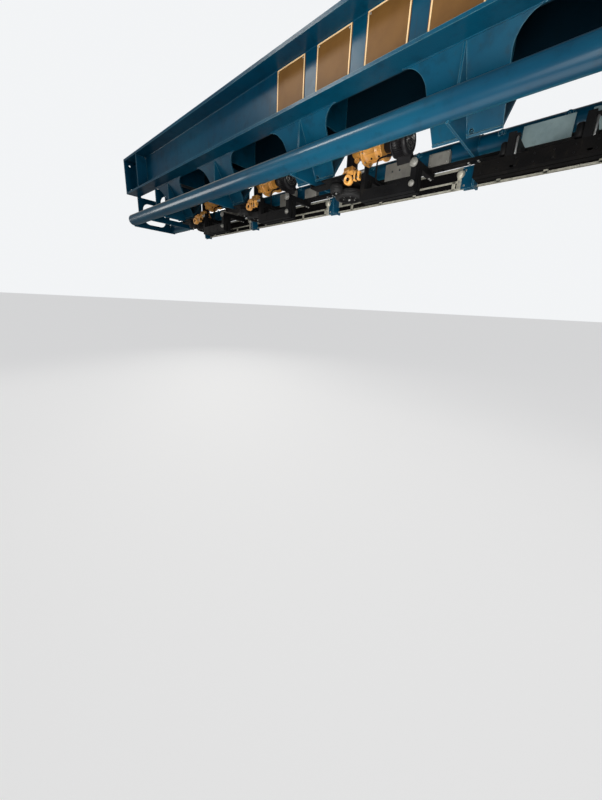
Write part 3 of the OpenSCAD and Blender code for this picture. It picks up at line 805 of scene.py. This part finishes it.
def hangerWelds():
    s, made = steel, Piece("hangerWelds")
    high, low = s["lean"]
    ring = s["railR"] + 0.001
    turns = [math.radians(degrees) for degrees in range(-84, 85, 8)]
    for x in s["hangers"]:
        for side in (-1, 1):
            for face in (-1, 1):
                at = x + face * (s["cross"] + 0.001)
                # cross plate against the leaning plates, and round the rail
                made.bead((at, side * high, s["under"]), (at, side * low, s["vee"]))
                path = [(at, side * (s["rails"] - ring * math.cos(t)), s["railZ"] + ring * math.sin(t))
                        for t in turns]
                made.pipe(path, s["bead"], "track_blue", 6, 0.001)
            y, z = side * s["seamY"], s["under"] - 0.001
            made.bead((x - s["seam"], y, z), (x + s["seam"], y, z))
    made.done()


# fittings: x is measured from a hanger or an arm; lastBlock: no end block beyond that x
fittings = {
    "lastBlock": 2.2, "block": ((0.099, -0.342, -0.963), (0.130, -0.326, -0.822)), "knob": (0.108, -0.866),
    "blockBolt": 0.114, "blockBoltZ": (-0.910, -0.945), "outside": -0.326,
    "face": ((0.003, -0.331, -0.960), (0.098, -0.326, -0.824)),
    "faceBolts": (0.020, 0.078), "faceBoltZ": (-0.846, -0.940),
    "beamBolts": (-0.030, 0.030), "strap": (0.048, 0.012, 0.001),
    "lugBrake": 0.135, "lugDrive": 0.11, "lug": ((-0.024, -0.247, -0.735), (0.024, -0.226, -0.703)),
    "lugEye": (-0.232, -0.719), "lugR": 0.017, "lugBolt": -0.217,
    "box": ((0.160, -0.243, -0.827), (0.300, -0.198, -0.742)), "lidOver": 0.003, "lidDeep": 0.004,
    "glands": (0.035, 0.070, 0.105), "glandY": -0.218, "gland": 0.007,
}


def shifted(x, low, high):
    return [(x + corner[0], corner[1], corner[2]) for corner in (low, high)]


def frameFittings():
    f, blue, made = fittings, "track_blue", Piece("frameFittings")
    for x in steel["hangers"]:
        if x < f["lastBlock"]:  # end blocks of the cable frame, with their knobs
            made.box(*shifted(x, *f["block"]), "frame_aluminium", 0.004)
            made.lathe((x + f["knob"][0], f["outside"], f["knob"][1]), axisY, [
                (0, 0.027), (0.008, 0.027), (0.014, 0.021), (0.019, 0.020), (0.022, 0.016), (0.022, 0.001)],
                "frame_aluminium", 24)
            for z in f["blockBoltZ"]:
                made.bolt((x + f["blockBolt"], f["outside"], z), axisY, 0.006)
        made.box(*shifted(x, *f["face"]), blue, 0.001)
        for at in f["faceBolts"]:
            for z in f["faceBoltZ"]:
                made.bolt((x + at, f["outside"], z), axisY, 0.007)
        wide, deep, thick = f["strap"]
        for y in units["boltY"]:  # the beam's bolts under each hanger
            for at in f["beamBolts"]:
                made.bolt((x + at, y, units["top"]), down, units["bolt"])
            made.box((x - wide, y - deep, units["top"]), (x + wide, y + deep, units["top"] + thick),
                     "unit_black", 0)
    # lugs on the far rail beside the arms
    lugs = [at + f["lugBrake"] for at in arms["brake"]]
    lugs += [middle + at + f["lugDrive"] for middle in units["middles"] for at in arms["drive"]]
    y, z = f["lugEye"]
    r = f["lugR"]
    for x in lugs:
        made.box(*shifted(x, *f["lug"]), blue, 0.006)
        made.lathe((x, y, z), axisY, [(0, r), (0.012, r), (0.015, r - 0.003), (0.015, 0.001)], blue, 20)
        made.bolt((x, f["lugBolt"], z), axisY, 0.006, blue, False)
    # junction boxes on the beam beside the inner hangers, with lids and glands
    over, deep = f["lidOver"], f["lidDeep"]
    for x in steel["hangers"][1:-1]:
        low, high = shifted(x, *f["box"])
        made.box(low, high, "unit_grey", 0.005)
        made.box((low[0] - over, high[1] - deep, low[2] + deep), (high[0] + over, high[1] + deep, high[2] - deep),
                 "unit_grey", 0.003)
        for a in (low[0] + 0.012, high[0] - 0.012):
            for z in (low[2] + 0.014, high[2] - 0.014):
                made.bolt((a, high[1] + deep, z), axisY, 0.004, washer=False)
        for at in f["glands"]:
            start, end = [(low[0] + at, f["glandY"], z) for z in (low[2] - 0.001, units["top"] - 0.012)]
            made.rod(start, end, f["gland"], "unit_black", 10)
    made.done()


tray = {"y": (-0.358, -0.342), "z": (-0.957, -0.899), "lip": 0.012, "lipT": 0.003, "floor": 0.009, "web": 0.004,
        "groove": 0.006, "cable": 0.004, "cableZ": (0.026, 0.037), "posts": 4, "postHalf": 0.012}


def cableTray():
    t, made, pale, dark = tray, Piece("cableTray"), "frame_aluminium", "bar_black"
    (y0, y1), (z0, z1) = t["y"], t["z"]
    lip, lipT, web, groove, bottom = t["lip"], t["lipT"], t["web"], z0 + t["groove"], z0 + t["floor"]
    outline = [(y0, z0), (y0 + lipT, z0), (y0 + lipT, groove), (y1 - lipT, groove), (y1 - lipT, z0), (y1, z0),
               (y1, z0 + lip), (y1 - lipT, z0 + lip), (y1 - lipT, bottom), (y0 + web, bottom),
               (y0 + web, z1 - web), (y1 - lipT, z1 - web), (y1 - lipT, z1 - lip), (y1, z1 - lip),
               (y1, z1), (y0, z1)]
    for a, b in zip(steel["hangers"], steel["hangers"][1:]):
        a, b = a + steel["cross"], b - steel["cross"]
        made.loft([(a, y, z) for y, z in outline], (b - a, 0, 0), pale)
        # painted shade: dark boxes in the slots and the groove stand in for the shadow in the tray's recesses
        made.box((a + 0.001, y0 + web, z0 + lip - 0.002), (b - 0.001, y1 - 0.007, z1 - lip + 0.002), dark, 0.001)
        made.box((a + 0.001, y0 + lipT, z0 + 0.002), (b - 0.001, y1 - lipT, groove), dark, 0)
        for z in t["cableZ"]:
            made.pipe([(a + 0.010, y1 - 0.005, z0 + z), (b - 0.010, y1 - 0.005, z0 + z)], t["cable"], dark, 8)
        for i in range(t["posts"]):
            x = a + (b - a) * (i + 0.5) / t["posts"]
            made.box((x - t["postHalf"], y1 - 0.004, z0 + 0.001), (x + t["postHalf"], y1, z1 - 0.001), pale, 0.001)
    made.done(instead=("cable_rail",))


def plateRivets():
    p, made = plate, Piece("plateRivets")
    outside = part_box("blank_plates")[1][1]
    half = p["width"] / 2 - p["rivetIn"]
    for k in range(p["count"]):
        x = p["firstMiddle"] - k * p["pitch"]
        for a in (-half, half):
            for z in (p["top"] - p["rivetIn"], p["top"] - p["height"] + p["rivetIn"]):
                made.lathe((x + a, outside, z), axisY, [
                    (0, 0.006), (0.0015, 0.0055), (0.003, 0.003), (0.0034, 0.0005)], "wheel_steel", 14)
    made.done()


girderWelds()
hangerWelds()
frameFittings()
cableTray()
plateRivets()
print("steel fittings: done")


# pale floor, plain soft light
stageLooks = {"reach": 400, "floor": (0.40, 0.40, 0.395, 1), "lit": (0.50, 0.50, 0.49, 1),
              "glow": (0.50, 0.50, 0.505, 1), "floorRough": 0.85,
              "backdrop": 0.92, "mirrored": 0.20, "sky": 0.40, "tint": (0.97, 0.985, 1.0, 1)}


def plainFloor(wire):
    seen = wire.node("LightPath", out="Is Camera Ray")
    return {"Base Color": mix(seen, stageLooks["lit"], stageLooks["floor"]),
            "Emission Color": mix(seen, (0, 0, 0, 1), stageLooks["glow"])}


reach = stageLooks["reach"]
corners = [(-reach, -reach, floorZ), (reach, -reach, floorZ), (reach, reach, floorZ), (-reach, reach, floorZ)]
floorMesh = bpy.data.meshes.new("floor")
floorMesh.from_pydata(corners, [], [(0, 1, 2, 3)])
floorFixed = {"Roughness": stageLooks["floorRough"], "Emission Strength": 1.0}
floorMesh.materials.append(finish("paleFloor", plainFloor, floorFixed))
floor = bpy.data.objects.new("floor", floorMesh)
bpy.context.collection.objects.link(floor)

world = bpy.data.worlds.new("paleRoom")
bpy.context.scene.world = world
world.use_nodes = True
sky = world.node_tree.nodes["Background"]
sky.inputs["Color"].default_value = stageLooks["tint"]
skyWire = Wire(world.node_tree)
camRay = skyWire.node("LightPath", out="Is Camera Ray")
glossRay = skyWire.node("LightPath", out="Is Glossy Ray")
plain = stageLooks["sky"]
level = glossRay * (stageLooks["mirrored"] - plain) + camRay * (stageLooks["backdrop"] - plain) + plain
world.node_tree.links.new(level.socket, sky.inputs["Strength"])

# lamps: place, aim, size, watts, colour
lampSpread = 1.3
lamps = {
    "fromPlatform": ((-4.2, 5.4, -1.9), (-0.6, 0, -0.7), 3.0, 36, (1.0, 0.99, 0.96)),
    "fromEntry": ((-8.5, 1.2, -1.3), (-1.0, 0, -0.7), 2.6, 44, (1.0, 1.0, 1.0)),
    "fromBelow": ((-1.6, 2.2, floorZ + 0.9), (-0.5, -0.1, -0.8), 1.8, 19, (1.0, 0.98, 0.94)),
    "fromFloor": ((-0.7, 0.1, floorZ + 0.3), (-0.7, 0.0, -0.8), 2.6, 9, (1.0, 0.99, 0.97)),
    "fromOpening": ((7.5, 4.5, -0.9), (0.8, 0, -0.6), 3.0, 30, (1.0, 0.97, 0.93)),
    "fromRoof": ((3.4, 4.4, 2.9), (-0.2, 0.2, -0.3), 1.8, 24, (1.0, 0.96, 0.90)),
    "fromExit": ((9.5, -4.8, 1.6), (1.0, 0.2, -0.6), 4.0, 110, (1.0, 0.98, 0.93)),
}
for name, (at, aim, size, watts, colour) in lamps.items():
    data = bpy.data.lights.new(name, "AREA")
    data.shape, data.size, data.spread = "DISK", size, lampSpread
    data.energy, data.color = watts, colour
    lamp = bpy.data.objects.new(name, data)
    lamp.location = at
    lamp.rotation_euler = (Vector(aim) - Vector(at)).to_track_quat("-Z", "Y").to_euler()
    lamp.visible_camera = False
    bpy.context.collection.objects.link(lamp)
bpy.context.scene.view_settings.view_transform = "Standard"
print("stage and lamps set")
